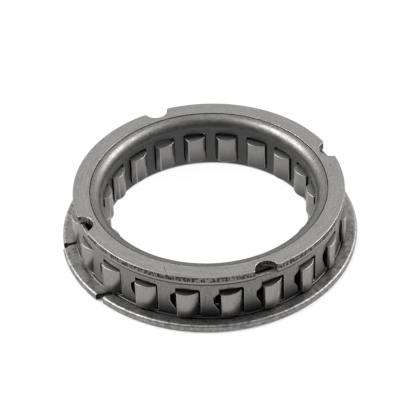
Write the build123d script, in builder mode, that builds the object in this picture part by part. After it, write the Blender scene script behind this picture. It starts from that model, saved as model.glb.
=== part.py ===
from build123d import *
from math import asin, cos, degrees, radians, sin, sqrt
import os

os.makedirs("parts", exist_ok=True)

# Sprag clutch, millimetres. The axis is Z, and Z = 0 is the lower edge of the outer cage's rim.
# Angles run counter-clockwise seen from above.

# Whole clutch
overall_height = 13.5
sprag_count = 20
sprag_angle = 7.35
cage_gap = 4.5
margin = 1.0

# End ring, a stamped flat ring on the outer cage's top edge
ring_outer_radius = 31.5
ring_thickness = 2.0
ring_edge_break = 0.15
notch_count = 4
notch_angle = 22.8
notch_radius = 2.7
notch_depth = 2.6
notch_corner_round = 0.6
ledge_thickness = 0.5
ledge_clearance = 0.1
seam_gap = 0.2

# Outer cage, drawn from sheet, with a flange whose rim is turned down
outer_sheet = 0.9
wall_set_back = 0.4
cage_top_round = 0.4
flange_reach = 3.2
flange_foot_height = 1.2
flange_rim_height = 1.8
foot_round = 0.35
rim_round = 0.55
rim_draft = 0.15

# Drag tab, the stretch of wall and flange between two parallel slits, sprung outwards
tab_angle = 207.1
tab_width = 19.7
tab_spring = 0.4
slit_width = 0.65
slit_relief_radius = 0.75

# Inner cage, drawn from sheet, with a flared mouth that holds the end ring down
inner_sheet = 0.9
flare_radius = 2.85
flare_drop = 0.3
inner_foot_band = 1.3

# Sprags
sprag_width = 5.0
sprag_height = 9.0
sprag_length = 6.7
sprag_set_in = 0.3
sprag_lean = 3.0
outer_cam_radius = 4.5
outer_cam_offset = 0.6
inner_cam_radius = 4.2
inner_cam_offset = 0.2
outer_facet_width = 0.2
outer_facet_height = 0.45
inner_facet_width = 0.7
inner_facet_height = 1.0
waist_length = 3.8
waist_depth = 0.75
sprag_edge_break = 0.12

# Clearances round the sprags
window_rise = 0.2
sprag_end_clearance = 0.15
outer_head_room = 0.9
inner_head_room = 0.8
inner_end_clearance = 0.3
window_side_clearance = 0.3
window_corner_round = 0.25
outer_window_shift = 0.15
inner_window_shift = 0.06

# Lobe in the side of each outer window
lobe_depth = 1.3
lobe_top_drop = 0.6
lobe_upper_slope = 2.0
lobe_straight = 1.7
lobe_lower_slope = 2.4
lobe_corner_round = 1.2

# Ribbon spring between the cages
ribbon_thickness = 0.25
ribbon_rail = 0.7
ribbon_end_clearance = 0.3
ribbon_side_clearance = 0.8
tongue_width = 1.6
tongue_clearance = 0.2

# Radii worked out from the ring inwards
flange_outer_radius = ring_outer_radius + flange_reach
outer_wall_outer = ring_outer_radius - wall_set_back
outer_wall_inner = outer_wall_outer - outer_sheet
inner_wall_outer = outer_wall_inner - cage_gap
inner_wall_inner = inner_wall_outer - inner_sheet
outer_wall_middle = (outer_wall_outer + outer_wall_inner) / 2
inner_wall_middle = (inner_wall_outer + inner_wall_inner) / 2
sprag_middle_radius = (outer_wall_middle + inner_wall_middle) / 2 - sprag_set_in

# Heights worked out from the flange upwards
cage_top = overall_height - ring_thickness
outer_window_bottom = flange_foot_height + foot_round + window_rise
sprag_bottom = outer_window_bottom + sprag_end_clearance
sprag_top = sprag_bottom + sprag_length
outer_window_top = sprag_top + outer_head_room
inner_window_bottom = sprag_bottom - inner_end_clearance
inner_window_top = sprag_top + inner_head_room
inner_cage_bottom = inner_window_bottom - inner_foot_band
window_width = sprag_width + 2 * window_side_clearance
pitch_angle = 360 / sprag_count


def half_section(angle):
    """Plane through the axis: x is the radius at this angle, y is the height."""
    a = radians(angle)
    return Plane(origin=(0, 0, 0), x_dir=(cos(a), sin(a), 0), z_dir=(sin(a), -cos(a), 0))


def tangent_plane(angle, radius):
    """Plane facing outwards at this angle: x runs counter-clockwise, y is the height."""
    a = radians(angle)
    return Plane(
        origin=(radius * cos(a), radius * sin(a), 0),
        x_dir=(-sin(a), cos(a), 0),
        z_dir=(cos(a), sin(a), 0),
    )


def sprag_plane(angle):
    """Plane at the sprag's lower end: x runs clockwise, y outwards, turned by the lean."""
    a = radians(angle)
    a_lean = radians(angle + sprag_lean)
    return Plane(
        origin=(sprag_middle_radius * cos(a), sprag_middle_radius * sin(a), sprag_bottom),
        x_dir=(sin(a_lean), -cos(a_lean), 0),
        z_dir=(0, 0, 1),
    )


def lean_offset(radius):
    """How far the leaning sprag's centre line lies counter-clockwise at this radius."""
    return (radius - sprag_middle_radius) * sin(radians(sprag_lean))


def outer_cage_outline(top, spring):
    """Half section of the outer cage up to this height, its foot moved out by spring."""
    inner_foot = outer_wall_inner + spring
    outer_foot = outer_wall_outer + spring
    rim_outer = flange_outer_radius + spring
    rim_inner = rim_outer - outer_sheet
    underside = flange_foot_height - outer_sheet
    Polyline(
        (outer_wall_inner, top),
        (outer_wall_outer, top),
        (outer_foot, flange_foot_height),
        (rim_outer, flange_rim_height),
        (rim_outer - rim_draft, 0),
        (rim_inner - rim_draft, 0),
        (rim_inner - rim_draft, flange_rim_height - outer_sheet),
        (inner_foot + foot_round, underside),
        (inner_foot, flange_foot_height),
        (outer_wall_inner, top),
    )


def round_cage_corners(spring):
    """Round the fold at the wall's foot and the turned rim of the outline in this sketch."""
    fold = (outer_wall_outer + spring, flange_foot_height)
    rim = (flange_outer_radius + spring, flange_rim_height)
    fillet(near_corner(fold), foot_round)
    fillet(near_corner(rim), rim_round)


def near_corner(place):
    """The corner of the sketch in work that lies nearest to this place."""
    goal = Vector(place[0], place[1], 0)
    return [min(vertices(), key=lambda v: (Vector(v.X, v.Y, 0) - goal).length)]


# Drag tab, before its slits and windows are cut
tab_half_width = tab_width / 2
tab_back = sqrt(outer_wall_inner**2 - tab_half_width**2) - margin
tab_depth = flange_outer_radius + tab_spring + margin - tab_back
tab_sweep = 2 * degrees(asin(tab_half_width / (outer_wall_inner - margin)))
with BuildPart() as drag_tab:
    with BuildSketch(half_section(tab_angle - tab_sweep / 2)):
        with BuildLine():
            outer_cage_outline(outer_window_top, tab_spring)
        make_face()
        round_cage_corners(tab_spring)
    revolve(axis=Axis.Z, revolution_arc=tab_sweep)
    with BuildSketch(tangent_plane(tab_angle, tab_back)):
        with Locations((0, -margin)):
            Rectangle(
                tab_width, outer_window_top + 2 * margin, align=(Align.CENTER, Align.MIN)
            )
    extrude(amount=tab_depth, mode=Mode.INTERSECT)

# Outer cage
outer_shift = lean_offset(outer_wall_middle) + outer_window_shift
with BuildPart() as outer_cage:
    with BuildSketch(Plane.XZ):
        with BuildLine():
            outer_cage_outline(cage_top, 0)
        make_face()
        round_cage_corners(0)
        fillet(near_corner((outer_wall_outer, cage_top)), cage_top_round)
    revolve(axis=Axis.Z)
    with BuildSketch(tangent_plane(tab_angle, tab_back)):
        with Locations((0, -margin)):
            Rectangle(tab_width, outer_window_top + margin, align=(Align.CENTER, Align.MIN))
    extrude(amount=tab_depth, mode=Mode.SUBTRACT)
    add(drag_tab.part)
    with BuildSketch(tangent_plane(tab_angle, tab_back)):
        with Locations((-tab_half_width, -margin), (tab_half_width, -margin)):
            Rectangle(
                slit_width, outer_window_bottom + 2 * margin, align=(Align.CENTER, Align.MIN)
            )
    extrude(amount=tab_depth, mode=Mode.SUBTRACT)
    relief_radius = flange_outer_radius - slit_relief_radius / 2
    relief_turn = degrees(asin(tab_half_width / relief_radius))
    with BuildSketch(Plane.XY.offset(-margin)):
        for slit_angle in (tab_angle - relief_turn, tab_angle + relief_turn):
            a = radians(slit_angle)
            with Locations((relief_radius * cos(a), relief_radius * sin(a))):
                Circle(slit_relief_radius)
    extrude(amount=flange_rim_height + 2 * margin, mode=Mode.SUBTRACT)
    window_planes = [
        tangent_plane(sprag_angle + k * pitch_angle, outer_wall_inner - margin)
        for k in range(sprag_count)
    ]
    with BuildSketch(*window_planes):
        with Locations((outer_shift, (outer_window_bottom + outer_window_top) / 2)):
            RectangleRounded(
                window_width, outer_window_top - outer_window_bottom, window_corner_round
            )
        side = outer_shift - window_width / 2
        lobe_top = outer_window_top - lobe_top_drop
        lobe_shoulder = lobe_top - lobe_upper_slope
        lobe_hip = lobe_shoulder - lobe_straight
        lobe_bottom = lobe_hip - lobe_lower_slope
        with BuildLine():
            FilletPolyline(
                (side, lobe_top),
                (side - lobe_depth, lobe_shoulder),
                (side - lobe_depth, lobe_hip),
                (side, lobe_bottom),
                radius=lobe_corner_round,
            )
            Polyline(
                (side, lobe_bottom),
                (side + window_corner_round, lobe_bottom),
                (side + window_corner_round, lobe_top),
                (side, lobe_top),
            )
        make_face()
    extrude(amount=outer_sheet + tab_spring + 2 * margin, mode=Mode.SUBTRACT)
outer_cage.part.label = "outer_cage"
export_step(outer_cage.part, "parts/outer_cage.step")

# Inner cage
flare_top = overall_height - flare_drop
flare_centre_radius = inner_wall_inner + flare_radius
flare_centre_height = flare_top - flare_radius
flare_inner = flare_radius - inner_sheet
flare_edge = flare_centre_radius - seam_gap
inner_shift = lean_offset(inner_wall_middle) - inner_window_shift
with BuildPart() as inner_cage:
    with BuildSketch(Plane.XZ):
        with BuildLine():
            Line((inner_wall_outer, inner_cage_bottom), (inner_wall_inner, inner_cage_bottom))
            Line((inner_wall_inner, inner_cage_bottom), (inner_wall_inner, flare_centre_height))
            RadiusArc(
                (inner_wall_inner, flare_centre_height),
                (flare_centre_radius, flare_top),
                flare_radius,
            )
            Line((flare_centre_radius, flare_top), (flare_centre_radius, flare_top - inner_sheet))
            RadiusArc(
                (flare_centre_radius, flare_top - inner_sheet),
                (inner_wall_outer, flare_centre_height),
                -flare_inner,
            )
            Line((inner_wall_outer, flare_centre_height), (inner_wall_outer, inner_cage_bottom))
        make_face()
    revolve(axis=Axis.Z)
    with BuildSketch(Plane.XZ):
        with Locations((flare_edge, flare_centre_height)):
            Rectangle(margin, flare_radius + margin, align=(Align.MIN, Align.MIN))
    revolve(axis=Axis.Z, mode=Mode.SUBTRACT)
    window_planes = [
        tangent_plane(sprag_angle + k * pitch_angle, inner_wall_inner - margin)
        for k in range(sprag_count)
    ]
    with BuildSketch(*window_planes):
        with Locations((inner_shift, (inner_window_bottom + inner_window_top) / 2)):
            Rectangle(window_width, inner_window_top - inner_window_bottom)
    extrude(amount=inner_sheet + 2 * margin, mode=Mode.SUBTRACT)
inner_cage.part.label = "inner_cage"
export_step(inner_cage.part, "parts/inner_cage.step")

# End ring
ledge_top = cage_top + ledge_thickness
ledge_rise = ledge_top + ledge_clearance - flare_centre_height
ledge_inner = flare_centre_radius - sqrt(flare_inner**2 - ledge_rise**2)
ring_bore = flare_centre_radius
notch_centre = ring_outer_radius - notch_depth + notch_radius
notch_places = [
    Vector(notch_centre, 0, 0).rotate(Axis.Z, notch_angle + k * 360 / notch_count)
    for k in range(notch_count)
]
with BuildPart() as end_ring:
    with BuildSketch(Plane.XY.offset(cage_top)):
        Circle(ring_outer_radius)
        with Locations(*notch_places):
            Circle(notch_radius, mode=Mode.SUBTRACT)
        corners = [
            v
            for v in vertices()
            if min((Vector(v.X, v.Y, 0) - place).length for place in notch_places) < notch_radius + margin
        ]
        fillet(corners, notch_corner_round)
        Circle(ledge_inner, mode=Mode.SUBTRACT)
    extrude(amount=ring_thickness)
    with BuildSketch(Plane.XY.offset(ledge_top)):
        Circle(ring_bore)
    extrude(amount=ring_thickness, mode=Mode.SUBTRACT)
    top_face = end_ring.faces().sort_by(Axis.Z)[-1]
    chamfer(top_face.outer_wire().edges(), ring_edge_break)
end_ring.part.label = "end_ring"
export_step(end_ring.part, "parts/end_ring.step")

# Ribbon spring
ribbon_window_bottom = sprag_bottom - ribbon_end_clearance
ribbon_window_top = sprag_top + ribbon_end_clearance
ribbon_window_width = sprag_width + 2 * ribbon_side_clearance
ribbon_inner = sprag_middle_radius - ribbon_thickness / 2
tongue_tip = sprag_width / 2 - waist_depth + tongue_clearance
tongue_reach = ribbon_window_width / 2 - tongue_tip
with BuildPart() as ribbon_spring:
    with BuildSketch(Plane.XZ):
        with Locations((ribbon_inner, ribbon_window_bottom - ribbon_rail)):
            Rectangle(
                ribbon_thickness,
                ribbon_window_top - ribbon_window_bottom + 2 * ribbon_rail,
                align=(Align.MIN, Align.MIN),
            )
    revolve(axis=Axis.Z)
    window_planes = [
        tangent_plane(sprag_angle + k * pitch_angle, ribbon_inner - margin)
        for k in range(sprag_count)
    ]
    with BuildSketch(*window_planes):
        middle = (ribbon_window_bottom + ribbon_window_top) / 2
        with Locations((0, middle)):
            Rectangle(ribbon_window_width, ribbon_window_top - ribbon_window_bottom)
        with Locations((tongue_tip, middle)):
            Rectangle(tongue_reach, tongue_width, align=(Align.MIN, Align.CENTER), mode=Mode.SUBTRACT)
    extrude(amount=ribbon_thickness + 2 * margin, mode=Mode.SUBTRACT)
ribbon_spring.part.label = "ribbon_spring"
export_step(ribbon_spring.part, "parts/ribbon_spring.step")

# Sprag section: x clockwise, y outwards, from the middle of the sprag
half_width = sprag_width / 2
half_height = sprag_height / 2
outer_cam_middle = half_height - outer_cam_radius
inner_cam_middle = inner_cam_radius - half_height
outer_facet_x = half_width - outer_facet_width
inner_facet_x = inner_facet_width - half_width
outer_facet_y = outer_cam_middle + sqrt(outer_cam_radius**2 - (outer_facet_x - outer_cam_offset) ** 2)
inner_facet_y = inner_cam_middle - sqrt(inner_cam_radius**2 - (inner_facet_x + inner_cam_offset) ** 2)
outer_corner_y = outer_cam_middle + sqrt(outer_cam_radius**2 - (half_width + outer_cam_offset) ** 2)
inner_corner_y = inner_cam_middle - sqrt(inner_cam_radius**2 - (half_width + inner_cam_offset) ** 2)
half_waist = waist_length / 2
waist_x = half_width - waist_depth
for k in range(sprag_count):
    with BuildPart() as sprag:
        with BuildSketch(sprag_plane(sprag_angle + k * pitch_angle)):
            with BuildLine():
                ThreePointArc(
                    (-half_width, outer_corner_y),
                    (outer_cam_offset, half_height),
                    (outer_facet_x, outer_facet_y),
                )
                Line((outer_facet_x, outer_facet_y), (half_width, outer_facet_y - outer_facet_height))
                Line((half_width, outer_facet_y - outer_facet_height), (half_width, half_waist))
                ThreePointArc((half_width, half_waist), (waist_x, 0), (half_width, -half_waist))
                Line((half_width, -half_waist), (half_width, inner_corner_y))
                ThreePointArc(
                    (half_width, inner_corner_y),
                    (-inner_cam_offset, -half_height),
                    (inner_facet_x, inner_facet_y),
                )
                Line((inner_facet_x, inner_facet_y), (-half_width, inner_facet_y + inner_facet_height))
                Line((-half_width, inner_facet_y + inner_facet_height), (-half_width, -half_waist))
                ThreePointArc((-half_width, -half_waist), (-waist_x, 0), (-half_width, half_waist))
                Line((-half_width, half_waist), (-half_width, outer_corner_y))
            make_face()
        extrude(amount=sprag_length)
        cams = sprag.faces().filter_by(GeomType.CYLINDER).sort_by(SortBy.RADIUS)[-2:]
        chamfer(cams.edges().filter_by(GeomType.CIRCLE), sprag_edge_break)
    name = f"sprag_{k + 1:02d}"
    sprag.part.label = name
    export_step(sprag.part, f"parts/{name}.step")
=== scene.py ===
import math
from types import SimpleNamespace
import bmesh
import bpy
from mathutils import Matrix, Vector, noise


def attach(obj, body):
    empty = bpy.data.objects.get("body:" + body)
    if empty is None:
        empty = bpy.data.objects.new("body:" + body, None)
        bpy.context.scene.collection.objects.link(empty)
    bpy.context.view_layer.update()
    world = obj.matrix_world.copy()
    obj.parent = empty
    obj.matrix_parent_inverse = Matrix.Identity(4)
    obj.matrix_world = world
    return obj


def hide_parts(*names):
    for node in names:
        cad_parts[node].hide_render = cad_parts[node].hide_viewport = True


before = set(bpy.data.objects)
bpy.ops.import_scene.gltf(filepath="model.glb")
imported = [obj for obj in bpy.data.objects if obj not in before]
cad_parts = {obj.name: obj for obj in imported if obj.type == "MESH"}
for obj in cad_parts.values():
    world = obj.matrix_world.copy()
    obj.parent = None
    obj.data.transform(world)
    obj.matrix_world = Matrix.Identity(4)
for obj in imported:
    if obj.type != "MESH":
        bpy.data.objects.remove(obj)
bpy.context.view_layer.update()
print("stage 1: frame loaded,", len(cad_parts), "nodes")

# All sizes are in millimetres and all angles in degrees, unless a note says otherwise
mm = 0.001
pitches = 20  # windows and sprags round the clutch
firstSprag = 7.35
notches = 4
notchAngle = 22.8  # of the first notch
ringRadius = 31.5  # of the end ring, and of the circle on which arc lengths are measured
degreesPerMm = 57.296 / ringRadius
nearly = 0.001  # how well a place has to agree to be picked


class Wire:
    # One number, vector or colour in a material. Arithmetic on it adds Math nodes.
    def __init__(self, finish, socket):
        self.finish = finish
        self.socket = socket

    def maths(self, operation, first, second=0.0):
        return self.finish.node("ShaderNodeMath", {"operation": operation}, {0: first, 1: second})

    def __add__(self, other):
        return self.maths("ADD", self, other)

    def __radd__(self, other):
        return self.maths("ADD", other, self)

    def __sub__(self, other):
        return self.maths("SUBTRACT", self, other)

    def __rsub__(self, other):
        return self.maths("SUBTRACT", other, self)

    def __mul__(self, other):
        return self.maths("MULTIPLY", self, other)

    def __rmul__(self, other):
        return self.maths("MULTIPLY", other, self)

    def __truediv__(self, other):
        return self.maths("DIVIDE", self, other)

    def __pow__(self, other):
        return self.maths("POWER", self, other)

    def __abs__(self):
        return self.maths("ABSOLUTE", self)

    def larger(self, other):
        return self.maths("MAXIMUM", self, other)

    def wrapped(self, period):
        return self.maths("MODULO", self, period)

    def smooth(self, low, high):
        # 0 below low, 1 above high and a soft step between
        settings = {"interpolation_type": "SMOOTHSTEP"}
        sockets = {"Value": self, "From Min": low, "From Max": high}
        return self.finish.node("ShaderNodeMapRange", settings, sockets)

    def fade(self, low, high):
        # 1 below low and 0 above high
        return 1 - self.smooth(low, high)

    def between(self, start, full, last, end):
        return self.smooth(start, full) * self.fade(last, end)

    def out(self, name):
        # Another output of the same node
        return Wire(self.finish, self.socket.node.outputs[name])


class Finish:
    # A material or world in the making
    def __init__(self, owner):
        self.owner = owner
        owner.use_nodes = True
        self.tree = owner.node_tree
        self.tree.nodes.clear()

    def node(self, kind, settings=None, sockets=None, out=0):
        made = self.tree.nodes.new(kind)
        for key, value in (settings or {}).items():
            setattr(made, key, value)
        for key, value in (sockets or {}).items():
            if isinstance(value, Wire):
                self.tree.links.new(value.socket, made.inputs[key])
            else:
                made.inputs[key].default_value = value
        return Wire(self, made.outputs[out]) if made.outputs else None

    def split(self, vector):
        parts = self.node("ShaderNodeSeparateXYZ", None, {"Vector": vector})
        return [parts.out(name) for name in "XYZ"]

    def join(self, x, y, z):
        return self.node("ShaderNodeCombineXYZ", None, {"X": x, "Y": y, "Z": z})

    def noise(self, vector, scale, detail, roughness):
        sockets = {"Vector": vector, "Scale": scale, "Detail": detail, "Roughness": roughness}
        return self.node("ShaderNodeTexNoise", None, sockets)

    def mixColour(self, factor, first, second):
        sockets = {0: factor, 6: first, 7: second}
        return self.node("ShaderNodeMix", {"data_type": "RGBA"}, sockets, 2)

    def steel(self, colour, roughness, bump=None):
        # The bump is its strength, its reach in metres and its height
        sockets = {"Base Color": colour, "Metallic": 1.0, "Roughness": roughness}
        if bump:
            strength, reach, height = bump
            relief = {"Strength": strength, "Distance": reach, "Height": height}
            sockets["Normal"] = self.node("ShaderNodeBump", None, relief)
        shader = self.node("ShaderNodeBsdfPrincipled", None, sockets)
        self.node("ShaderNodeOutputMaterial", None, {"Surface": shader})
        return self.owner

    def place(self):
        # Where a point of the surface lies round the clutch, and which way it faces
        source = self.node("ShaderNodeTexCoord")
        x, y, z = [part * 1000 for part in self.split(source.out("Object"))]
        radius = (x * x + y * y) ** 0.5
        arc = x.maths("ARCTAN2", y, x) * ringRadius
        normal = self.split(source.out("Normal"))
        point = self.join(x, y, z)
        return SimpleNamespace(x=x, y=y, z=z, point=point, radius=radius, arc=arc, normal=normal)


def newSteel(name):
    finish = Finish(bpy.data.materials.new(name))
    return finish, finish.place()


# End ring: brushed top with one scratch and one pit
ringLook = {
    "colour": (0.372, 0.362, 0.35, 1),
    "dark": (0.20, 0.195, 0.19, 1),
    "mark": (0.05, 0.05, 0.05, 1),
    "roughness": 0.34,
    "brush": (5.0, 0.16),  # grain per mm across and along the brush strokes
    "scratch": ((-10.4, -27.1), (-10.0, -29.1)),
    "scratchHalf": (0.03, 0.13),
    "pit": (28.6, 6.0),
    "pitRadius": (0.12, 0.34),
    "bump": (0.25, 0.00002),
}


def makeRingSteel():
    look = ringLook
    f, at = newSteel("ringSteel")
    flat = abs(at.normal[2]).smooth(0.8, 0.98)
    across, along = look["brush"]
    grain = f.noise(f.join(at.radius * across, at.arc * along, at.z), 1.0, 4, 0.65)
    fine = f.noise(at.point, 2.8, 3, 0.7)
    tone = (grain - 0.5) * 0.8 + (fine - 0.5) * 1.2
    shade = (tone + 0.5) * flat + fine * (1 - flat)
    (x1, y1), (x2, y2) = look["scratch"]
    length = math.hypot(x2 - x1, y2 - y1)
    onward = ((at.x - x1) * (x2 - x1) + (at.y - y1) * (y2 - y1)) / length
    beside = abs((at.x - x1) * (y2 - y1) - (at.y - y1) * (x2 - x1)) / length
    scratch = beside.fade(*look["scratchHalf"]) * onward.between(-0.1, 0.3, length - 0.4, length)
    dx, dy = at.x - look["pit"][0], at.y - look["pit"][1]
    pit = ((dx * dx + dy * dy) ** 0.5).fade(*look["pitRadius"])
    marks = scratch.larger(pit) * flat
    steel = f.mixColour(shade.smooth(0.1, 0.9), look["dark"], look["colour"])
    colour = f.mixColour(marks * 0.75, steel, look["mark"])
    height = grain * 0.6 + fine * 0.4 - marks
    return f.steel(colour, look["roughness"] + (fine - 0.5) * 0.2, (*look["bump"], height))


# Cages: mottled sheet. Painted shade darkens the outer wall towards its foot, a painted shadow
# lies under the end ring, and painted shade darkens the inner wall below the mouth, the window
# cuts and the fold of the foot.
cageLook = {
    "colour": (0.27, 0.265, 0.26, 1),
    "dark": (0.12, 0.118, 0.116, 1),
    "flange": (0.48, 0.47, 0.46, 1),
    "paintedShade": (0.05, 0.05, 0.05, 1),
    "roughness": 0.36,
    "wallShade": 0.85,
    "grooveShadow": 0.95,
    "holeShade": 0.95,
    "insideShade": 0.88,
    "flangeDull": 0.12,
    "mouthDull": 0.1,
    "mouthShade": 0.25,
    "bump": (0.2, 0.00002),
}
cageZones = {
    # Radii over which each zone begins, or begins and ends
    "outside": (29.9, 30.1),
    "wallEnd": (31.35, 31.6),
    "flange": (31.4, 31.8),
    "foot": (31.26, 31.32, 31.6, 31.9),
    "outerHoles": (30.25, 30.4, 30.9, 31.05),
    "innerHoles": (24.85, 25.0, 25.5, 25.65),
    "inside": (25.6, 26.0),
    "mouth": (28.0, 29.0),
    # Heights
    "flangeTop": (1.85, 2.0),
    "wallHeight": (2.0, 8.2),
    "footTop": (1.8, 2.0),
    "holeHeight": (1.6, 1.8, 9.6, 9.8),
    "groove": (10.7, 10.95),
    "insideTop": (10.6, 11.8),
    "mouthFrom": (10.5, 11.5),
    # Degrees from the middle between two notches, up to which the end ring covers the groove
    "covered": (39.8, 40.4),
}


def makeCageSteel():
    look, zone = cageLook, cageZones
    f, at = newSteel("cageSteel")
    mottle = f.noise(at.point, 2.2, 4, 0.6)
    drawn = f.noise(f.join(at.arc * 4, at.radius * 4, at.z * 0.5), 1.0, 3, 0.5)
    stained = f.noise(at.point, 1.1, 4, 0.65)
    flange = at.radius.smooth(*zone["flange"]) * at.z.fade(*zone["flangeTop"])
    shade = (mottle * 0.6 + drawn * 0.4) * (1 - flange * 0.6) + stained * flange * 0.6
    plain = f.mixColour(shade.smooth(0.25, 0.7), look["dark"], look["colour"])
    steel = f.mixColour(flange * shade.smooth(0.35, 0.65) * 0.5, plain, look["flange"])
    # Painted shade masks: the outer wall towards its foot, the painted shadow in the groove under
    # the end ring's overhang (not in the notches), the inner wall below the mouth, the window cuts
    # and the fold of the foot
    between = 180 / notches
    turn = (at.arc * degreesPerMm + 360 - notchAngle).wrapped(2 * between)
    covered = abs(turn - between).fade(*zone["covered"])
    outside = at.radius.smooth(*zone["outside"])
    wall = outside * at.radius.fade(*zone["wallEnd"]) * at.z.fade(*zone["wallHeight"])
    wall = wall * look["wallShade"]
    groove = outside * at.z.smooth(*zone["groove"]) * covered * look["grooveShadow"]
    inner = at.radius.fade(*zone["inside"]) * at.z.fade(*zone["insideTop"]) * look["insideShade"]
    holes = at.radius.between(*zone["outerHoles"]) + at.radius.between(*zone["innerHoles"])
    holes = holes * at.z.between(*zone["holeHeight"]) * look["holeShade"]
    foot = at.radius.between(*zone["foot"]) * at.z.fade(*zone["footTop"])
    paintedShade = (wall + inner).larger(groove).larger(holes).larger(foot) * (mottle * 0.5 + 0.75)
    # Painted shade: the mouth is darkened a quarter towards the near-black painted-shade colour
    mouth = at.radius.fade(*zone["mouth"]) * at.z.smooth(*zone["mouthFrom"])
    patches = f.noise(at.point, 0.5, 3, 0.6).smooth(0.35, 0.65)
    colour = f.mixColour(paintedShade.larger(mouth * look["mouthShade"]), steel, look["paintedShade"])
    dull = flange * look["flangeDull"] + mouth * patches * look["mouthDull"]
    roughness = look["roughness"] + (mottle - 0.5) * 0.25 + dull
    return f.steel(colour, roughness, (*look["bump"], shade))


# Sprags: ground cams, with painted shade on their sides, towards their lower ends and on their
# tops
spragLook = {
    "colour": (0.36, 0.352, 0.34, 1),
    "dark": (0.21, 0.205, 0.2, 1),
    "paintedShade": (0.035, 0.035, 0.035, 1),
    "roughness": 0.3,
    "shadeMix": 0.88,
    "shadeHeight": (2.0, 4.4),
    "shadeRise": 3.0,  # at the right side of an outer cam
    "halfFace": 4.5,  # degrees from the middle of an outer cam to its side
    "endFace": (0.8, 0.95),  # upright part of the normal
    "sideFace": (0.3, 0.75),  # radial part of the normal
    "outerCam": (29.5, 30.5),
    "innerCam": (24.6, 25.4),
    "innerHeight": (1.5, 7.5),
    "topOuter": (26.5, 28.5),
    "bump": (0.1, 0.00002),
}


def makeSpragSteel():
    look = spragLook
    f, at = newSteel("spragSteel")
    nx, ny, nz = at.normal
    ends = abs(nz).smooth(*look["endFace"])
    ground = f.noise(f.join(at.arc * 7, at.radius * 7, at.z * 0.5), 1.0, 3, 0.55)
    fine = f.noise(at.point, 6.0, 3, 0.6)
    # Painted shade: the outer cam darkens towards its lower end, reaching higher at its right
    # side, the inner cam darkens downwards, and the sides darken
    facing = abs(nx * at.x + ny * at.y) / at.radius
    sides = facing.fade(*look["sideFace"]) * (1 - ends)
    half = 180 / pitches
    aside = (at.arc * degreesPerMm + (360 + half) - firstSprag).wrapped(2 * half) - half
    rise = (aside / look["halfFace"]).larger(0.0) ** 2 * look["shadeRise"]
    low = (at.z - rise).fade(*look["shadeHeight"]) * at.radius.smooth(*look["outerCam"])
    inside = 0.9 - at.z.smooth(*look["innerHeight"]) * 0.65
    inside = inside * at.radius.fade(*look["innerCam"])
    # Painted shade: a sprag's top is a little darker, its outer half much darker
    topShade = ends * (0.1 + at.radius.smooth(*look["topOuter"]) * 0.5)
    shade = (ground * 0.6 + fine * 0.4).smooth(0.15, 0.8) * (1 - topShade)
    steel = f.mixColour(shade, look["dark"], look["colour"])
    colour = f.mixColour(low.larger(inside).larger(sides) * look["shadeMix"], steel, look["paintedShade"])
    roughness = look["roughness"] + (fine - 0.5) * 0.2 + ends * 0.15
    return f.steel(colour, roughness, (*look["bump"], ground))


springLook = {"colour": (0.2, 0.2, 0.2, 1), "dark": (0.1, 0.1, 0.1, 1), "roughness": 0.35}


def makeSpringSteel():
    f, at = newSteel("springSteel")
    rolled = f.noise(f.join(at.arc * 0.3, at.radius, at.z * 6), 1.0, 3, 0.5)
    colour = f.mixColour(rolled, springLook["dark"], springLook["colour"])
    return f.steel(colour, springLook["roughness"] + (rolled - 0.5) * 0.2)


# Rubbed edges of windows and sprags, lighter than the rest: wear, and a painted highlight on the
# edges
wearAndHighlightLook = {"colour": (0.42, 0.41, 0.40, 1), "dark": (0.26, 0.255, 0.25, 1), "roughness": 0.34}


def makeWearAndHighlightSteel():
    f, at = newSteel("wornSteel")
    rub = f.noise(at.point, 4.0, 3, 0.6)
    colour = f.mixColour(rub.smooth(0.3, 0.7), wearAndHighlightLook["dark"], wearAndHighlightLook["colour"])
    return f.steel(colour, wearAndHighlightLook["roughness"] + (rub - 0.5) * 0.2)


# Rough band that the punch tore in the end ring's edge
tornLook = {
    "colour": (0.26, 0.255, 0.248, 1),
    "dark": (0.025, 0.024, 0.023, 1),
    "roughness": 0.45,
    "bump": (0.4, 0.00005),
}


def makeTornSteel():
    f, at = newSteel("tornSteel")
    tears = f.noise(f.join(at.arc * 2.6, at.radius, at.z * 1.2), 1.0, 4, 0.65)
    fine = f.noise(at.point, 7.0, 3, 0.6)
    shade = (tears * 0.75 + fine * 0.25).smooth(0.46, 0.57)
    colour = f.mixColour(shade, tornLook["dark"], tornLook["colour"])
    return f.steel(colour, tornLook["roughness"] + (fine - 0.5) * 0.2, (*tornLook["bump"], fine))


# Painted shade on the walls of the two slits, near black
slitShadeLook = {"colour": (0.03, 0.03, 0.03, 1), "dark": (0.015, 0.015, 0.015, 1), "roughness": 0.6}


def makeSlitPaintedShade():
    f, at = newSteel("slitSteel")
    shadeMix = f.noise(at.point, 3.0, 3, 0.6)
    colour = f.mixColour(shadeMix, slitShadeLook["dark"], slitShadeLook["colour"])
    return f.steel(colour, slitShadeLook["roughness"] + (shadeMix - 0.5) * 0.3)


ringSteel = makeRingSteel()
slitSteel = makeSlitPaintedShade()
tornSteel = makeTornSteel()
cageSteel = makeCageSteel()
spragSteel = makeSpragSteel()
wornSteel = makeWearAndHighlightSteel()
springSteel = makeSpringSteel()
ringSteels = [ringSteel, tornSteel]
cageSteels = [cageSteel, wornSteel]
spragSteels = [spragSteel, wornSteel]
print("stage 2: steels made")


def deselect():
    if bpy.context.object and bpy.context.object.mode != "OBJECT":
        bpy.ops.object.mode_set(mode="OBJECT")
    bpy.ops.object.select_all(action="DESELECT")


def take(piece):
    deselect()
    piece.select_set(True)
    bpy.context.view_layer.objects.active = piece


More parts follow.
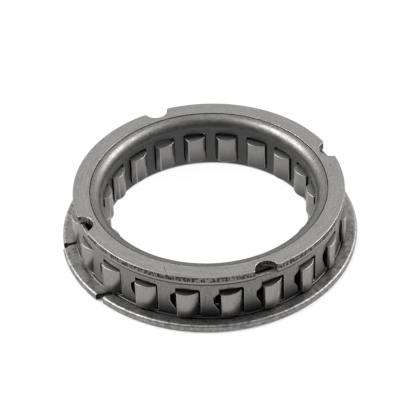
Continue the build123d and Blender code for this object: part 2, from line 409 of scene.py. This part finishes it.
def newPiece(name, points, edges=(), faces=(), materials=()):
    data = bpy.data.meshes.new(name)
    data.from_pydata([Vector(p) * mm for p in points], edges, faces)
    for material in materials:
        data.materials.append(material)
    piece = bpy.data.objects.new(name, data)
    bpy.context.scene.collection.objects.link(piece)
    take(piece)
    return piece


def editAll():
    bpy.ops.object.mode_set(mode="EDIT")
    bpy.ops.mesh.select_all(action="SELECT")


def pick(piece, kind, wanted):
    # Edit mode, with those edges or faces selected that the test accepts
    take(piece)
    bpy.ops.object.mode_set(mode="EDIT")
    bpy.ops.mesh.select_mode(type={"edges": "EDGE", "faces": "FACE"}[kind])
    bpy.ops.mesh.select_all(action="DESELECT")
    shape = bmesh.from_edit_mesh(piece.data)
    for part in getattr(shape, kind):
        if wanted(part):
            part.select_set(True)
    bmesh.update_edit_mesh(piece.data)


def closeUp(piece):
    # Merges the seams and turns the faces outwards
    take(piece)
    editAll()
    bpy.ops.mesh.remove_doubles(threshold=0.0004 * mm)
    bpy.ops.mesh.delete_loose(use_verts=True, use_edges=True, use_faces=False)
    bpy.ops.mesh.select_all(action="SELECT")
    bpy.ops.mesh.normals_make_consistent(inside=False)
    bpy.ops.object.mode_set(mode="OBJECT")


def join(piece, other):
    take(piece)
    other.select_set(True)
    bpy.ops.object.join()


def middleOf(edge):
    return (edge.verts[0].co + edge.verts[1].co) / 2


def arc(centre, radius, start, end, steps):
    angles = [math.radians(start + (end - start) * i / steps) for i in range(steps + 1)]
    return [(centre[0] + radius * math.cos(a), centre[1] + radius * math.sin(a)) for a in angles]


def roundedPath(corners, steps):
    # Corners are (x, y) or (x, y, radius), and each radius becomes an arc tangent to both sides
    path = []
    for i, corner in enumerate(corners):
        here = Vector(corner[:2])
        if len(corner) < 3:
            path.append(tuple(here))
            continue
        before = (Vector(corners[i - 1][:2]) - here).normalized()
        after = (Vector(corners[(i + 1) % len(corners)][:2]) - here).normalized()
        half = before.angle(after) / 2
        centre = here + (before + after).normalized() * corner[2] / math.sin(half)
        first = here + before * corner[2] / math.tan(half) - centre
        last = here + after * corner[2] / math.tan(half) - centre
        for j in range(steps + 1):
            path.append(tuple(centre + first.slerp(last, j / steps).normalized() * corner[2]))
    return path


def spunShell(name, profile, materials, steps=360, startAngle=firstSprag):
    # Spins an open outline of radii and heights round the axis
    edges = [(i, i + 1) for i in range(len(profile) - 1)]
    shell = newPiece(name, [(x, 0, z) for x, z in profile], edges, (), materials)
    shell.data.transform(Matrix.Rotation(math.radians(startAngle), 4, "Z"))
    editAll()
    bpy.ops.mesh.spin(steps=steps, angle=2 * math.pi, center=(0, 0, 0), axis=(0, 0, 1))
    bpy.ops.object.mode_set(mode="OBJECT")
    return shell


def prism(name, outline, bottom, height, materials=()):
    faces = [tuple(range(len(outline)))]
    piece = newPiece(name, [(x, y, bottom) for x, y in outline], (), faces, materials)
    editAll()
    bpy.ops.mesh.extrude_region_move(TRANSFORM_OT_translate={"value": (0, 0, height * mm)})
    bpy.ops.object.mode_set(mode="OBJECT")
    return piece


def finishPiece(piece, body, node, smooth=35):
    take(piece)
    bpy.ops.object.shade_smooth_by_angle(angle=math.radians(smooth))
    even = piece.modifiers.new("even", "WEIGHTED_NORMAL")
    even.keep_sharp = True
    bpy.ops.object.modifier_apply(modifier="even")
    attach(piece, body)
    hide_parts(node)
    print("made", piece.name, len(piece.data.polygons), "faces")


# End ring: stamped flat ring, torn above and smooth below on its edge
ring = {
    "bore": 27.65,
    "ledge": 26.8,
    "bottom": 11.5,
    "ledgeTop": 12.0,
    "top": 13.5,
    "notchRadius": 2.7,
    "notchCentre": 31.6,
    "notchRound": 0.6,
    "notchHalf": 5,  # degrees from a notch's middle to its end
    "step": 0.15,
    "edgeRound": 0.1,
    "boreRound": 0.08,
    "boreSteps": 540,
    "boreFlat": 0.2,
    "topCorner": ((0.02, 0.1), (0.05, 0.04), (0.11, 0), (0.25, 0)),  # inset, and drop from the top
    "lipTop": 12.1,
    "lipStep": 0.06,
    "tornTop": 13.36,
    "tornRows": 9,
    "tornDepth": 0.1,
    "tornLeast": 0.02,
    "tornRest": 0.03,  # depth without any tear
    "tornFade": (6, 5),  # how fast the tears begin at the lip and end at the top
    "tornShares": (0.45, 0.7, 0.4),  # of even depth, streaks and grain
    "streak": (2.1, 0.9),  # waves per mm round the ring and upwards
    "grain": (5.5, 3.5),
}
roundMiddle = 0.3  # share of a small round's size at which its middle lies


def ringOutline():
    # Points and outward normals along the notched edge, counter-clockwise
    notch, corner = ring["notchRadius"], ring["notchRound"]
    reach, far = ringRadius - corner, ring["notchCentre"]
    cosine = (reach**2 + far**2 - (notch + corner) ** 2) / (2 * reach * far)
    turn = math.degrees(math.acos(cosine))
    line = []

    def follow(centre, radius, start, end, side):
        steps = max(4, round(abs(math.radians(end - start)) * radius / ring["step"]))
        for x, y in arc(centre, radius, start, end, steps)[:-1]:
            outwards = ((x - centre[0]) / radius * side, (y - centre[1]) / radius * side)
            line.append(((x, y), outwards))

    def polar(radius, angle):
        direction = math.radians(angle)
        return Vector((radius * math.cos(direction), radius * math.sin(direction)))

    def heading(vector, near):
        angle = math.degrees(math.atan2(vector.y, vector.x))
        return angle + 360 * round((near - angle) / 360)

    pitch = 360 / notches
    for k in range(notches):
        mid = notchAngle + k * pitch
        first, last, hub = polar(reach, mid - turn), polar(reach, mid + turn), polar(far, mid)
        follow((0, 0), ringRadius, mid - pitch + turn, mid - turn, 1)
        follow(first, corner, mid - turn, heading(hub - first, mid + 90), 1)
        follow(hub, notch, heading(first - hub, mid - 90), heading(last - hub, mid - 270), -1)
        follow(last, corner, heading(hub - last, mid - 90), mid + turn, 1)
    return line


def tear(x, y, height):
    # Depth of the torn band at this place: upright tears and fine grain
    around = math.atan2(y, x) * ringRadius
    share = (height - ring["lipTop"]) / (ring["tornTop"] - ring["lipTop"])
    (streakRound, streakUp), (grainRound, grainUp) = ring["streak"], ring["grain"]
    streak = noise.noise(Vector((around * streakRound, height * streakUp, 0)))
    grain = noise.noise(Vector((around * grainRound, height * grainUp, 7)))
    (begin, end), (even, streaks, grains) = ring["tornFade"], ring["tornShares"]
    deep = ring["tornDepth"] * min(1, begin * share, end * (1 - share))
    depth = ring["tornRest"] + deep * (even + streaks * streak + grains * grain)
    return max(ring["tornLeast"], depth)


def ringEdge():
    # The notched side, row by row from the bottom to just inside the top's edge
    line = ringOutline()
    top, bottom, e = ring["top"], ring["bottom"], ring["edgeRound"]
    lipTop, count = ring["lipTop"], ring["tornRows"]
    rows = [(e, bottom), (e * roundMiddle, bottom + e * roundMiddle), (0, bottom + e)]
    rows += [(0, lipTop - ring["lipStep"])]
    rows += [(None, lipTop + (ring["tornTop"] - lipTop) * i / count) for i in range(count + 1)]
    rows += [(inset, top - drop) for inset, drop in ring["topCorner"]]
    points = []
    for inset, height in rows:
        for (x, y), (nx, ny) in line:
            depth = tear(x, y, height) if inset is None else inset
            points.append((x - nx * depth, y - ny * depth, height))
    size = len(line)
    faces = []
    for r in range(len(rows) - 1):
        for i in range(size):
            j = (i + 1) % size
            faces.append((r * size + i, r * size + j, (r + 1) * size + j, (r + 1) * size + i))
    return newPiece("endRing", points, (), faces, ringSteels)


def ringInside():
    top, e = ring["top"], ring["boreRound"]
    bore, ledge, ledgeTop = ring["bore"], ring["ledge"], ring["ledgeTop"]
    profile = [
        (bore + ring["boreFlat"], top),
        (bore + e, top),
        (bore + e * roundMiddle, top - e * roundMiddle),
        (bore, top - e),
        (bore, ledgeTop),
        (ledge + e, ledgeTop),
        (ledge, ledgeTop - e),
        (ledge, ring["bottom"]),
    ]
    inside = spunShell("ringBore", profile, ringSteels, ring["boreSteps"], 0)
    closeUp(inside)
    return inside


def makeEndRing():
    edge = ringEdge()
    join(edge, ringInside())
    for height in (ring["top"], ring["bottom"]):
        pick(edge, "edges", lambda e: e.is_boundary and abs(middleOf(e).z / mm - height) < nearly)
        bpy.ops.mesh.bridge_edge_loops()
    closeUp(edge)
    pitch, margin = 360 / notches, 0.5
    for face in edge.data.polygons:
        height = face.center.z / mm
        wide = math.hypot(face.center.x, face.center.y) / mm
        aside = (math.degrees(math.atan2(face.center.y, face.center.x)) - notchAngle) % pitch
        inNotch = min(aside, pitch - aside) < ring["notchHalf"] and wide < ringRadius - margin
        lowest = ring["bottom"] + ring["edgeRound"] if inNotch else ring["lipTop"]
        torn = lowest < height < ring["tornTop"] + 0.05 and wide > ring["bore"] + margin
        face.material_index = 1 if torn else 0
    finishPiece(edge, "outer_cage", "end_ring", 50)


# Outer cage: wall with lobed windows, folded foot, turned rim, two slits and a sprung tab between
outerCage = {
    "outer": 31.1,
    "sheet": 0.9,
    "top": 11.5,
    "topRound": 0.4,
    "seam": 1.57,  # height at which the wall meets the spun part
    "footHeight": 1.2,
    "footRound": 0.35,
    "rimOuter": 34.7,
    "rimHeight": 1.8,
    "rimRound": 0.55,
    "rimUnder": 0.1,
    "rimEdge": 0.08,
    "rimDraft": 0.15,
    "window": {
        "width": 5.6,
        "bottom": 1.75,
        "top": 9.5,
        "shift": 0.307,
        "round": 0.25,
        "topRound": 0.6,
    },
    "lobe": {
        "depth": 1.3,
        "top": 8.25,
        "shoulder": 7.2,
        "hip": 5.4,
        "bottom": 3.0,
        "round": 0.8,
        "topRound": 0.3,
        "bottomRound": 0.5,
    },
    "cutEdge": 0.12,
    "tabAngle": 206.4,
    "slits": ((-9.8, 0.8), (9.6, 1.5)),  # place across the tab, and width
    "slitFrom": 29.1,
    "slitTop": 2.75,
    "reliefRadius": 0.95,
    "reliefAt": 34.325,
    "spring": 0.4,  # how far the tab's foot stands out
}


def windowOutline(cage):
    w = cage["window"]
    left, right = w["shift"] - w["width"] / 2, w["shift"] + w["width"] / 2
    corners = [
        (left, w["bottom"], w["round"]),
        (right, w["bottom"], w["round"]),
        (right, w["top"], w["topRound"]),
        (left, w["top"], w["round"]),
    ]
    if "lobe" in cage:
        lobe = cage["lobe"]
        out = left - lobe["depth"]
        corners += [
            (left, lobe["top"], lobe["topRound"]),
            (out, lobe["shoulder"], lobe["round"]),
            (out, lobe["hip"], lobe["round"]),
            (left, lobe["bottom"], lobe["bottomRound"]),
        ]
    return roundedPath(corners, 4)


def halfStretch(cage):
    # Half the length of one window's stretch of the wall
    return math.pi * cage["outer"] / pitches


def makeFlatWall(name, cage, low, high):
    # One window's stretch of the wall laid flat: x along it, y outwards, z up. Until it is rolled
    # it is a thousand times too large, so millimetres are Blender's metres and cuts stay exact.
    half, sheet = halfStretch(cage), cage["sheet"]
    hole = windowOutline(cage)
    line = [(-half, low), (half, low), (half, high), (-half, high)] + hole
    edges = [(i, (i + 1) % 4) for i in range(4)]
    edges += [(4 + i, 4 + (i + 1) % len(hole)) for i in range(len(hole))]
    wall = newPiece(name, [(x / mm, 0, z / mm) for x, z in line], edges, (), cageSteels)
    editAll()
    bpy.ops.mesh.fill()
    bpy.ops.mesh.dissolve_limited(angle_limit=math.radians(1))
    bpy.ops.object.mode_set(mode="OBJECT")
    if wall.data.polygons[0].normal.y < 0:
        wall.data.flip_normals()
    thicken = wall.modifiers.new("sheet", "SOLIDIFY")
    thicken.thickness = sheet
    thicken.offset = -1
    bpy.ops.object.modifier_apply(modifier="sheet")

    def onHole(edge):
        if len(edge.link_faces) != 2:
            return False
        slopes = sorted(abs(face.normal.y) for face in edge.link_faces)
        place, margin = middleOf(edge), 0.01
        inside = abs(place.x) < half - margin and low + margin < place.z < high - margin
        return inside and slopes[0] < 0.1 and slopes[1] > 0.9

    pick(wall, "edges", onHole)
    bpy.ops.mesh.bevel(offset=cage["cutEdge"], segments=2, affect="EDGES", material=1)
    # Only the outer rims get the lighter wear-and-highlight steel
    for face in bmesh.from_edit_mesh(wall.data).faces:
        if face.calc_center_median().y < -sheet / 2:
            face.material_index = 0
    # The bevel leaves the two flat faces badly divided, so they are filled anew
    pick(wall, "faces", lambda f: abs(f.normal.y) > 0.99)
    bpy.ops.mesh.delete(type="FACE")
    for depth in (0, -sheet):
        pick(wall, "edges", lambda e: e.is_boundary and abs(middleOf(e).y - depth) < nearly)
        bpy.ops.mesh.fill(use_beauty=False)
    return wall


def rollWall(wall, cage, slices=18):
    # Opens the wall at its seam, cuts it into strips, repeats it round the cage and rolls it up
    half = halfStretch(cage)
    pick(wall, "faces", lambda f: abs(f.calc_center_median().z - cage["seam"]) < nearly)
    bpy.ops.mesh.delete(type="ONLY_FACE")
    bpy.ops.mesh.select_mode(type="VERT")
    for i in range(1, slices):
        bpy.ops.mesh.select_all(action="SELECT")
        across = -half + 2 * half * i / slices
        bpy.ops.mesh.bisect(plane_co=(across, 0, 0), plane_no=(1, 0, 0))
    pick(wall, "faces", lambda f: abs(abs(f.calc_center_median().x) - half) < nearly)
    bpy.ops.mesh.delete(type="ONLY_FACE")
    bpy.ops.object.mode_set(mode="OBJECT")
    repeat = wall.modifiers.new("pitches", "ARRAY")
    repeat.count = pitches
    repeat.use_relative_offset = False
    repeat.use_constant_offset = True
    repeat.constant_offset_displace = (2 * half, 0, 0)
    bpy.ops.object.modifier_apply(modifier="pitches")
    for vertex in wall.data.vertices:
        angle = math.radians(firstSprag) + vertex.co.x / cage["outer"]
        radius = cage["outer"] + vertex.co.y
        vertex.co = Vector((radius * math.cos(angle), radius * math.sin(angle), vertex.co.z)) * mm


def cutSlit(cage, across, width):
    # Keyhole cutter beside the tab, through foot, flange and rim
    half, hole, top = width / 2, outerCage["reliefRadius"], outerCage["slitTop"]
    below, beyond = 1, 3
    inner = math.sqrt(outerCage["slitFrom"] ** 2 - across**2)
    hub = math.sqrt(outerCage["reliefAt"] ** 2 - across**2)
    gap = math.degrees(math.asin(half / hole))
    line = [(inner, half), (inner, -half)] + arc((hub, 0), hole, -180 + gap, -gap, 12)
    line += [(hub + beyond, -half), (hub + beyond, half)] + arc((hub, 0), hole, gap, 180 - gap, 12)
    cutter = prism("slitCutter", [(x, y + across) for x, y in line], -below, top + below)
    cutter.data.transform(Matrix.Rotation(math.radians(outerCage["tabAngle"]), 4, "Z"))
    closeUp(cutter)
    take(cage)
    cut = cage.modifiers.new("slit", "BOOLEAN")
    cut.object = cutter
    cut.operation = "DIFFERENCE"
    cut.solver = "EXACT"
    bpy.ops.object.modifier_apply(modifier="slit")
    bpy.data.objects.remove(cutter)
    # The slit's walls get the third material, the near-black painted shade
    back, margin = Matrix.Rotation(-math.radians(outerCage["tabAngle"]), 4, "Z"), 0.02
    for face in cage.data.polygons:
        place = (back @ face.center) / mm
        inSlit = abs(place.y - across) < half + margin and place.x > inner
        inHole = math.hypot(place.x - hub, place.y - across) < hole + margin
        if place.z < top + margin and abs(face.normal.z) < 0.5 and (inSlit or inHole):
            face.material_index = 2


def springTab(cage):
    # The stretch between the slits leans outwards, most at its foot
    turn = math.radians(outerCage["tabAngle"])
    ahead = Vector((math.cos(turn), math.sin(turn), 0))
    aside = Vector((-math.sin(turn), math.cos(turn), 0))
    top, foot = outerCage["window"]["top"], outerCage["footHeight"]
    low, high = [slit[0] for slit in outerCage["slits"]]
    for vertex in cage.data.vertices:
        if vertex.co.dot(ahead) > 0 and low < vertex.co.dot(aside) / mm < high:
            share = min(1, max(0, (top - vertex.co.z / mm) / (top - foot)))
            away = Vector((vertex.co.x, vertex.co.y, 0)).normalized()
            vertex.co += away * outerCage["spring"] * share * mm


def makeOuterCage():
    c = outerCage
    cage = makeFlatWall("outerCage", c, c["seam"], c["top"])

    def onTop(edge):
        middle = middleOf(edge)
        return abs(middle.z - c["top"]) < nearly and abs(middle.y) < nearly

    pick(cage, "edges", onTop)
    bpy.ops.mesh.bevel(offset=c["topRound"], segments=4, affect="EDGES")
    rollWall(cage, c)
    inner, rimIn = c["outer"] - c["sheet"], c["rimOuter"] - c["sheet"] - c["rimDraft"]
    corners = [
        (c["outer"], c["seam"]),
        (c["outer"], c["footHeight"], c["footRound"]),
        (c["rimOuter"], c["rimHeight"], c["rimRound"]),
        (c["rimOuter"] - c["rimDraft"], 0, c["rimEdge"]),
        (rimIn, 0, c["rimEdge"]),
        (rimIn, c["rimHeight"] - c["sheet"], c["rimUnder"]),
        (inner + c["footRound"], c["footHeight"] - c["sheet"]),
        (inner, c["footHeight"]),
        (inner, c["seam"]),
    ]
    join(cage, spunShell("foot", roundedPath(corners, 6), cageSteels))
    closeUp(cage)
    for across, width in c["slits"]:
        cutSlit(cage, across, width)
    springTab(cage)
    cage.data.materials.append(slitSteel)
    finishPiece(cage, "outer_cage", "outer_cage")


# Inner cage: wall with plain windows, flared into the rounded mouth
innerCage = {
    "outer": 25.7,
    "sheet": 0.9,
    "bottom": 0.3,
    "seam": 10.0,  # height at which the wall meets the spun part
    "window": {
        "width": 5.6,
        "bottom": 1.6,
        "top": 9.4,
        "shift": -0.186,
        "round": 0.25,
        "topRound": 0.25,
    },
    "cutEdge": 0.12,
    "flareRadius": 2.85,
    "flareHeight": 10.52,
    "flareLip": 27.45,
}


def makeInnerCage():
    c = innerCage
    cage = makeFlatWall("innerCage", c, c["bottom"], c["seam"])

    def onBottom(edge):
        upright = len(edge.link_faces) == 2 and min(abs(f.normal.z) for f in edge.link_faces) < 0.1
        return upright and abs(middleOf(edge).z - c["bottom"]) < nearly

    pick(cage, "edges", onBottom)
    bpy.ops.mesh.bevel(offset=c["cutEdge"], segments=2, affect="EDGES", material=1)
    rollWall(cage, c)
    inner, radius = c["outer"] - c["sheet"], c["flareRadius"]
    hub, under = (inner + radius, c["flareHeight"]), radius - c["sheet"]
    lipUnder = math.degrees(math.acos((c["flareLip"] - hub[0]) / under))
    lipTop = math.degrees(math.acos((c["flareLip"] - hub[0]) / radius))
    profile = [(c["outer"], c["seam"])] + arc(hub, under, 180, lipUnder, 16)
    profile += arc(hub, radius, lipTop, 180, 28) + [(inner, c["seam"])]
    join(cage, spunShell("mouth", profile, cageSteels))
    closeUp(cage)
    finishPiece(cage, "inner_cage", "inner_cage")


# Sprags: x clockwise, y outwards, from the sprag's middle
sprag = {
    "width": 5.0,
    "height": 9.0,
    "bottom": 1.9,
    "length": 6.7,
    "middleRadius": 27.65,
    "lean": 3.0,
    "outerCam": {"radius": 4.5, "offset": 0.6, "facetWidth": 0.2, "facetHeight": 0.45},
    "innerCam": {"radius": 4.2, "offset": 0.2, "facetWidth": 0.7, "facetHeight": 1.0},
    "waistLength": 3.8,
    "waistDepth": 0.75,
    "edge": 0.12,
    "sharp": 22,  # corners turned by more than this are rounded
}


def camLine(cam, steps=14):
    # From the plain corner over the cam to the facet's foot, seen from the middle towards this cam
    half, reach = sprag["width"] / 2, sprag["height"] / 2 - cam["radius"]
    start = math.degrees(math.acos((-half - cam["offset"]) / cam["radius"]))
    facet = half - cam["facetWidth"]
    end = math.degrees(math.acos((facet - cam["offset"]) / cam["radius"]))
    line = arc((cam["offset"], reach), cam["radius"], start, end, steps)
    return line + [(half, line[-1][1] - cam["facetHeight"])]


def waistLine(steps=10):
    half, reach, depth = sprag["width"] / 2, sprag["waistLength"] / 2, sprag["waistDepth"]
    radius = (reach**2 + depth**2) / (2 * depth)
    swing = math.degrees(math.asin(reach / radius))
    return arc((half - depth + radius, 0), radius, 180 - swing, 180 + swing, steps)


def turned(line):
    return [(-x, -y) for x, y in line]


def makeSprags():
    line = camLine(sprag["outerCam"]) + waistLine()
    line += turned(camLine(sprag["innerCam"])) + turned(waistLine())
    model = prism("spragModel", line, sprag["bottom"], sprag["length"], spragSteels)
    closeUp(model)
    sharp = math.radians(sprag["sharp"])
    pick(model, "edges", lambda e: len(e.link_faces) == 2 and e.calc_face_angle() > sharp)
    bpy.ops.mesh.bevel(offset=sprag["edge"] * mm, segments=3, affect="EDGES", material=1)
    bpy.ops.object.mode_set(mode="OBJECT")
    for k in range(pitches):
        name = f"sprag_{k + 1:02d}"
        angle = math.radians(firstSprag + 360 * k / pitches)
        lean = angle + math.radians(sprag["lean"])
        across = Vector((math.sin(lean), -math.cos(lean), 0))
        outwards = Vector((math.cos(lean), math.sin(lean), 0))
        turn = Matrix((across, outwards, Vector((0, 0, 1)))).transposed().to_4x4()
        middle = Vector((math.cos(angle), math.sin(angle), 0)) * sprag["middleRadius"] * mm
        piece = bpy.data.objects.new(f"cam_{k + 1:02d}", model.data.copy())
        bpy.context.scene.collection.objects.link(piece)
        piece.data.transform(Matrix.Translation(middle) @ turn)
        finishPiece(piece, name, name)
    bpy.data.objects.remove(model)


makeEndRing()
makeOuterCage()
makeInnerCage()
makeSprags()
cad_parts["ribbon_spring"].data.materials.clear()
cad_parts["ribbon_spring"].data.materials.append(springSteel)
print("stage 3: pieces made")

# Camera at the photograph's height and turn
cameraView = {
    "lens": 152.5,
    "sensor": 36,
    "elevation": 40.52,
    "distance": 422.7,
    "roll": -1.93,
    "aim": (-0.31, 7.84, 0),
    "clip": (0.01, 20),  # metres
}


def addCamera():
    view = cameraView
    rise = math.radians(view["elevation"])
    back = Vector((0, -math.cos(rise), math.sin(rise)))
    level = Vector((1, 0, 0))
    turn = Matrix.Rotation(math.radians(view["roll"]), 3, back)
    across, upward = turn @ level, turn @ back.cross(level)
    bpy.ops.object.camera_add()
    camera = bpy.context.object
    camera.name = "photoCamera"
    camera.data.lens = view["lens"]
    camera.data.sensor_width = view["sensor"]
    camera.data.clip_start, camera.data.clip_end = view["clip"]
    camera.matrix_world = Matrix((across, upward, back)).transposed().to_4x4()
    camera.location = Vector(view["aim"]) * mm + view["distance"] * mm * back
    bpy.context.scene.camera = camera


# Studio: white floor that keeps the object's shadow, bright room with a darker camera side, two
# soft boxes. Floor and boxes are in metres, the shadow's reach in millimetres.
studio = {
    "floorSize": 6.0,
    "floorAt": -0.00005,
    "floorGlow": 0.97,
    "paper": (0.8, 0.8, 0.8, 1),
    "white": (1, 1, 1, 1),
    "shadow": {
        # Radii between which the floor is plain paper, further in before the front line
        "inner": 24.7,
        "outer": 34.0,
        "soft": 0.8,
        "frontInner": 19.0,
        "frontLine": (-12.0, -9.0),
    },
    "room": {"bright": 1.0, "dark": 0.16, "away": 0.76, "up": 0.25, "from": -0.62, "to": 0.55},
    "boxes": [
        {"name": "leftBox", "at": (-0.48, 0.12, 0.60), "size": (0.30, 0.45), "power": 6.0},
        {"name": "rightBox", "at": (0.50, 0.22, 0.54), "size": (0.30, 0.45), "power": 4.4},
    ],
}


def addFloor():
    bpy.ops.mesh.primitive_plane_add(size=studio["floorSize"], location=(0, 0, studio["floorAt"]))
    floor = bpy.context.object
    floor.name = "floor"
    f, at = newSteel("sweepWhite")
    shadow = studio["shadow"]
    inner, outer = shadow["inner"], shadow["outer"]
    soft, front = shadow["soft"], shadow["frontInner"]
    beyond = at.radius.smooth(outer, outer + 2 * soft)
    inside = at.radius.fade(inner, inner + soft)
    nearFront = at.y.fade(*shadow["frontLine"])
    middle = at.radius.fade(front - soft, front)
    glowing = beyond.larger(inside * (1 - nearFront)).larger(middle) * studio["floorGlow"]
    rays = f.node("ShaderNodeLightPath")
    looked = rays.out("Is Camera Ray").larger(rays.out("Is Glossy Ray"))
    looked = looked.larger(rays.out("Is Transmission Ray"))
    paper = f.node("ShaderNodeBsdfDiffuse", None, {"Color": studio["paper"]})
    glow = f.node("ShaderNodeEmission", None, {"Color": studio["white"], "Strength": 1.0})
    lit = f.node("ShaderNodeMixShader", None, {0: glowing, 1: paper, 2: glow})
    seen = f.node("ShaderNodeMixShader", None, {0: looked, 1: paper, 2: lit})
    f.node("ShaderNodeOutputMaterial", None, {"Surface": seen})
    floor.data.materials.append(f.owner)


def addWorld():
    # Bright behind and above, darker towards the camera
    world = bpy.data.worlds.new("studioAir")
    bpy.context.scene.world = world
    f = Finish(world)
    room = studio["room"]
    y, z = f.split(f.node("ShaderNodeTexCoord").out("Generated"))[1:]
    ahead = (y * room["away"] + z * room["up"]).smooth(room["from"], room["to"])
    level = room["dark"] + ahead * (room["bright"] - room["dark"])
    camera = f.node("ShaderNodeLightPath").out("Is Camera Ray")
    air = {"Color": studio["white"], "Strength": level.larger(camera)}
    f.node("ShaderNodeOutputWorld", None, {"Surface": f.node("ShaderNodeBackground", None, air)})


def addBoxes():
    for box in studio["boxes"]:
        data = bpy.data.lights.new(box["name"], "AREA")
        data.shape = "RECTANGLE"
        data.size, data.size_y = box["size"]
        data.energy = box["power"]
        lamp = bpy.data.objects.new(box["name"], data)
        bpy.context.scene.collection.objects.link(lamp)
        lamp.location = box["at"]
        lamp.rotation_mode = "QUATERNION"
        lamp.rotation_quaternion = (-Vector(box["at"])).to_track_quat("-Z", "Y")
        lamp.visible_camera = False


addCamera()
addFloor()
addWorld()
addBoxes()
bpy.context.scene.view_settings.view_transform = "Standard"
print("stage 4: camera and studio set")
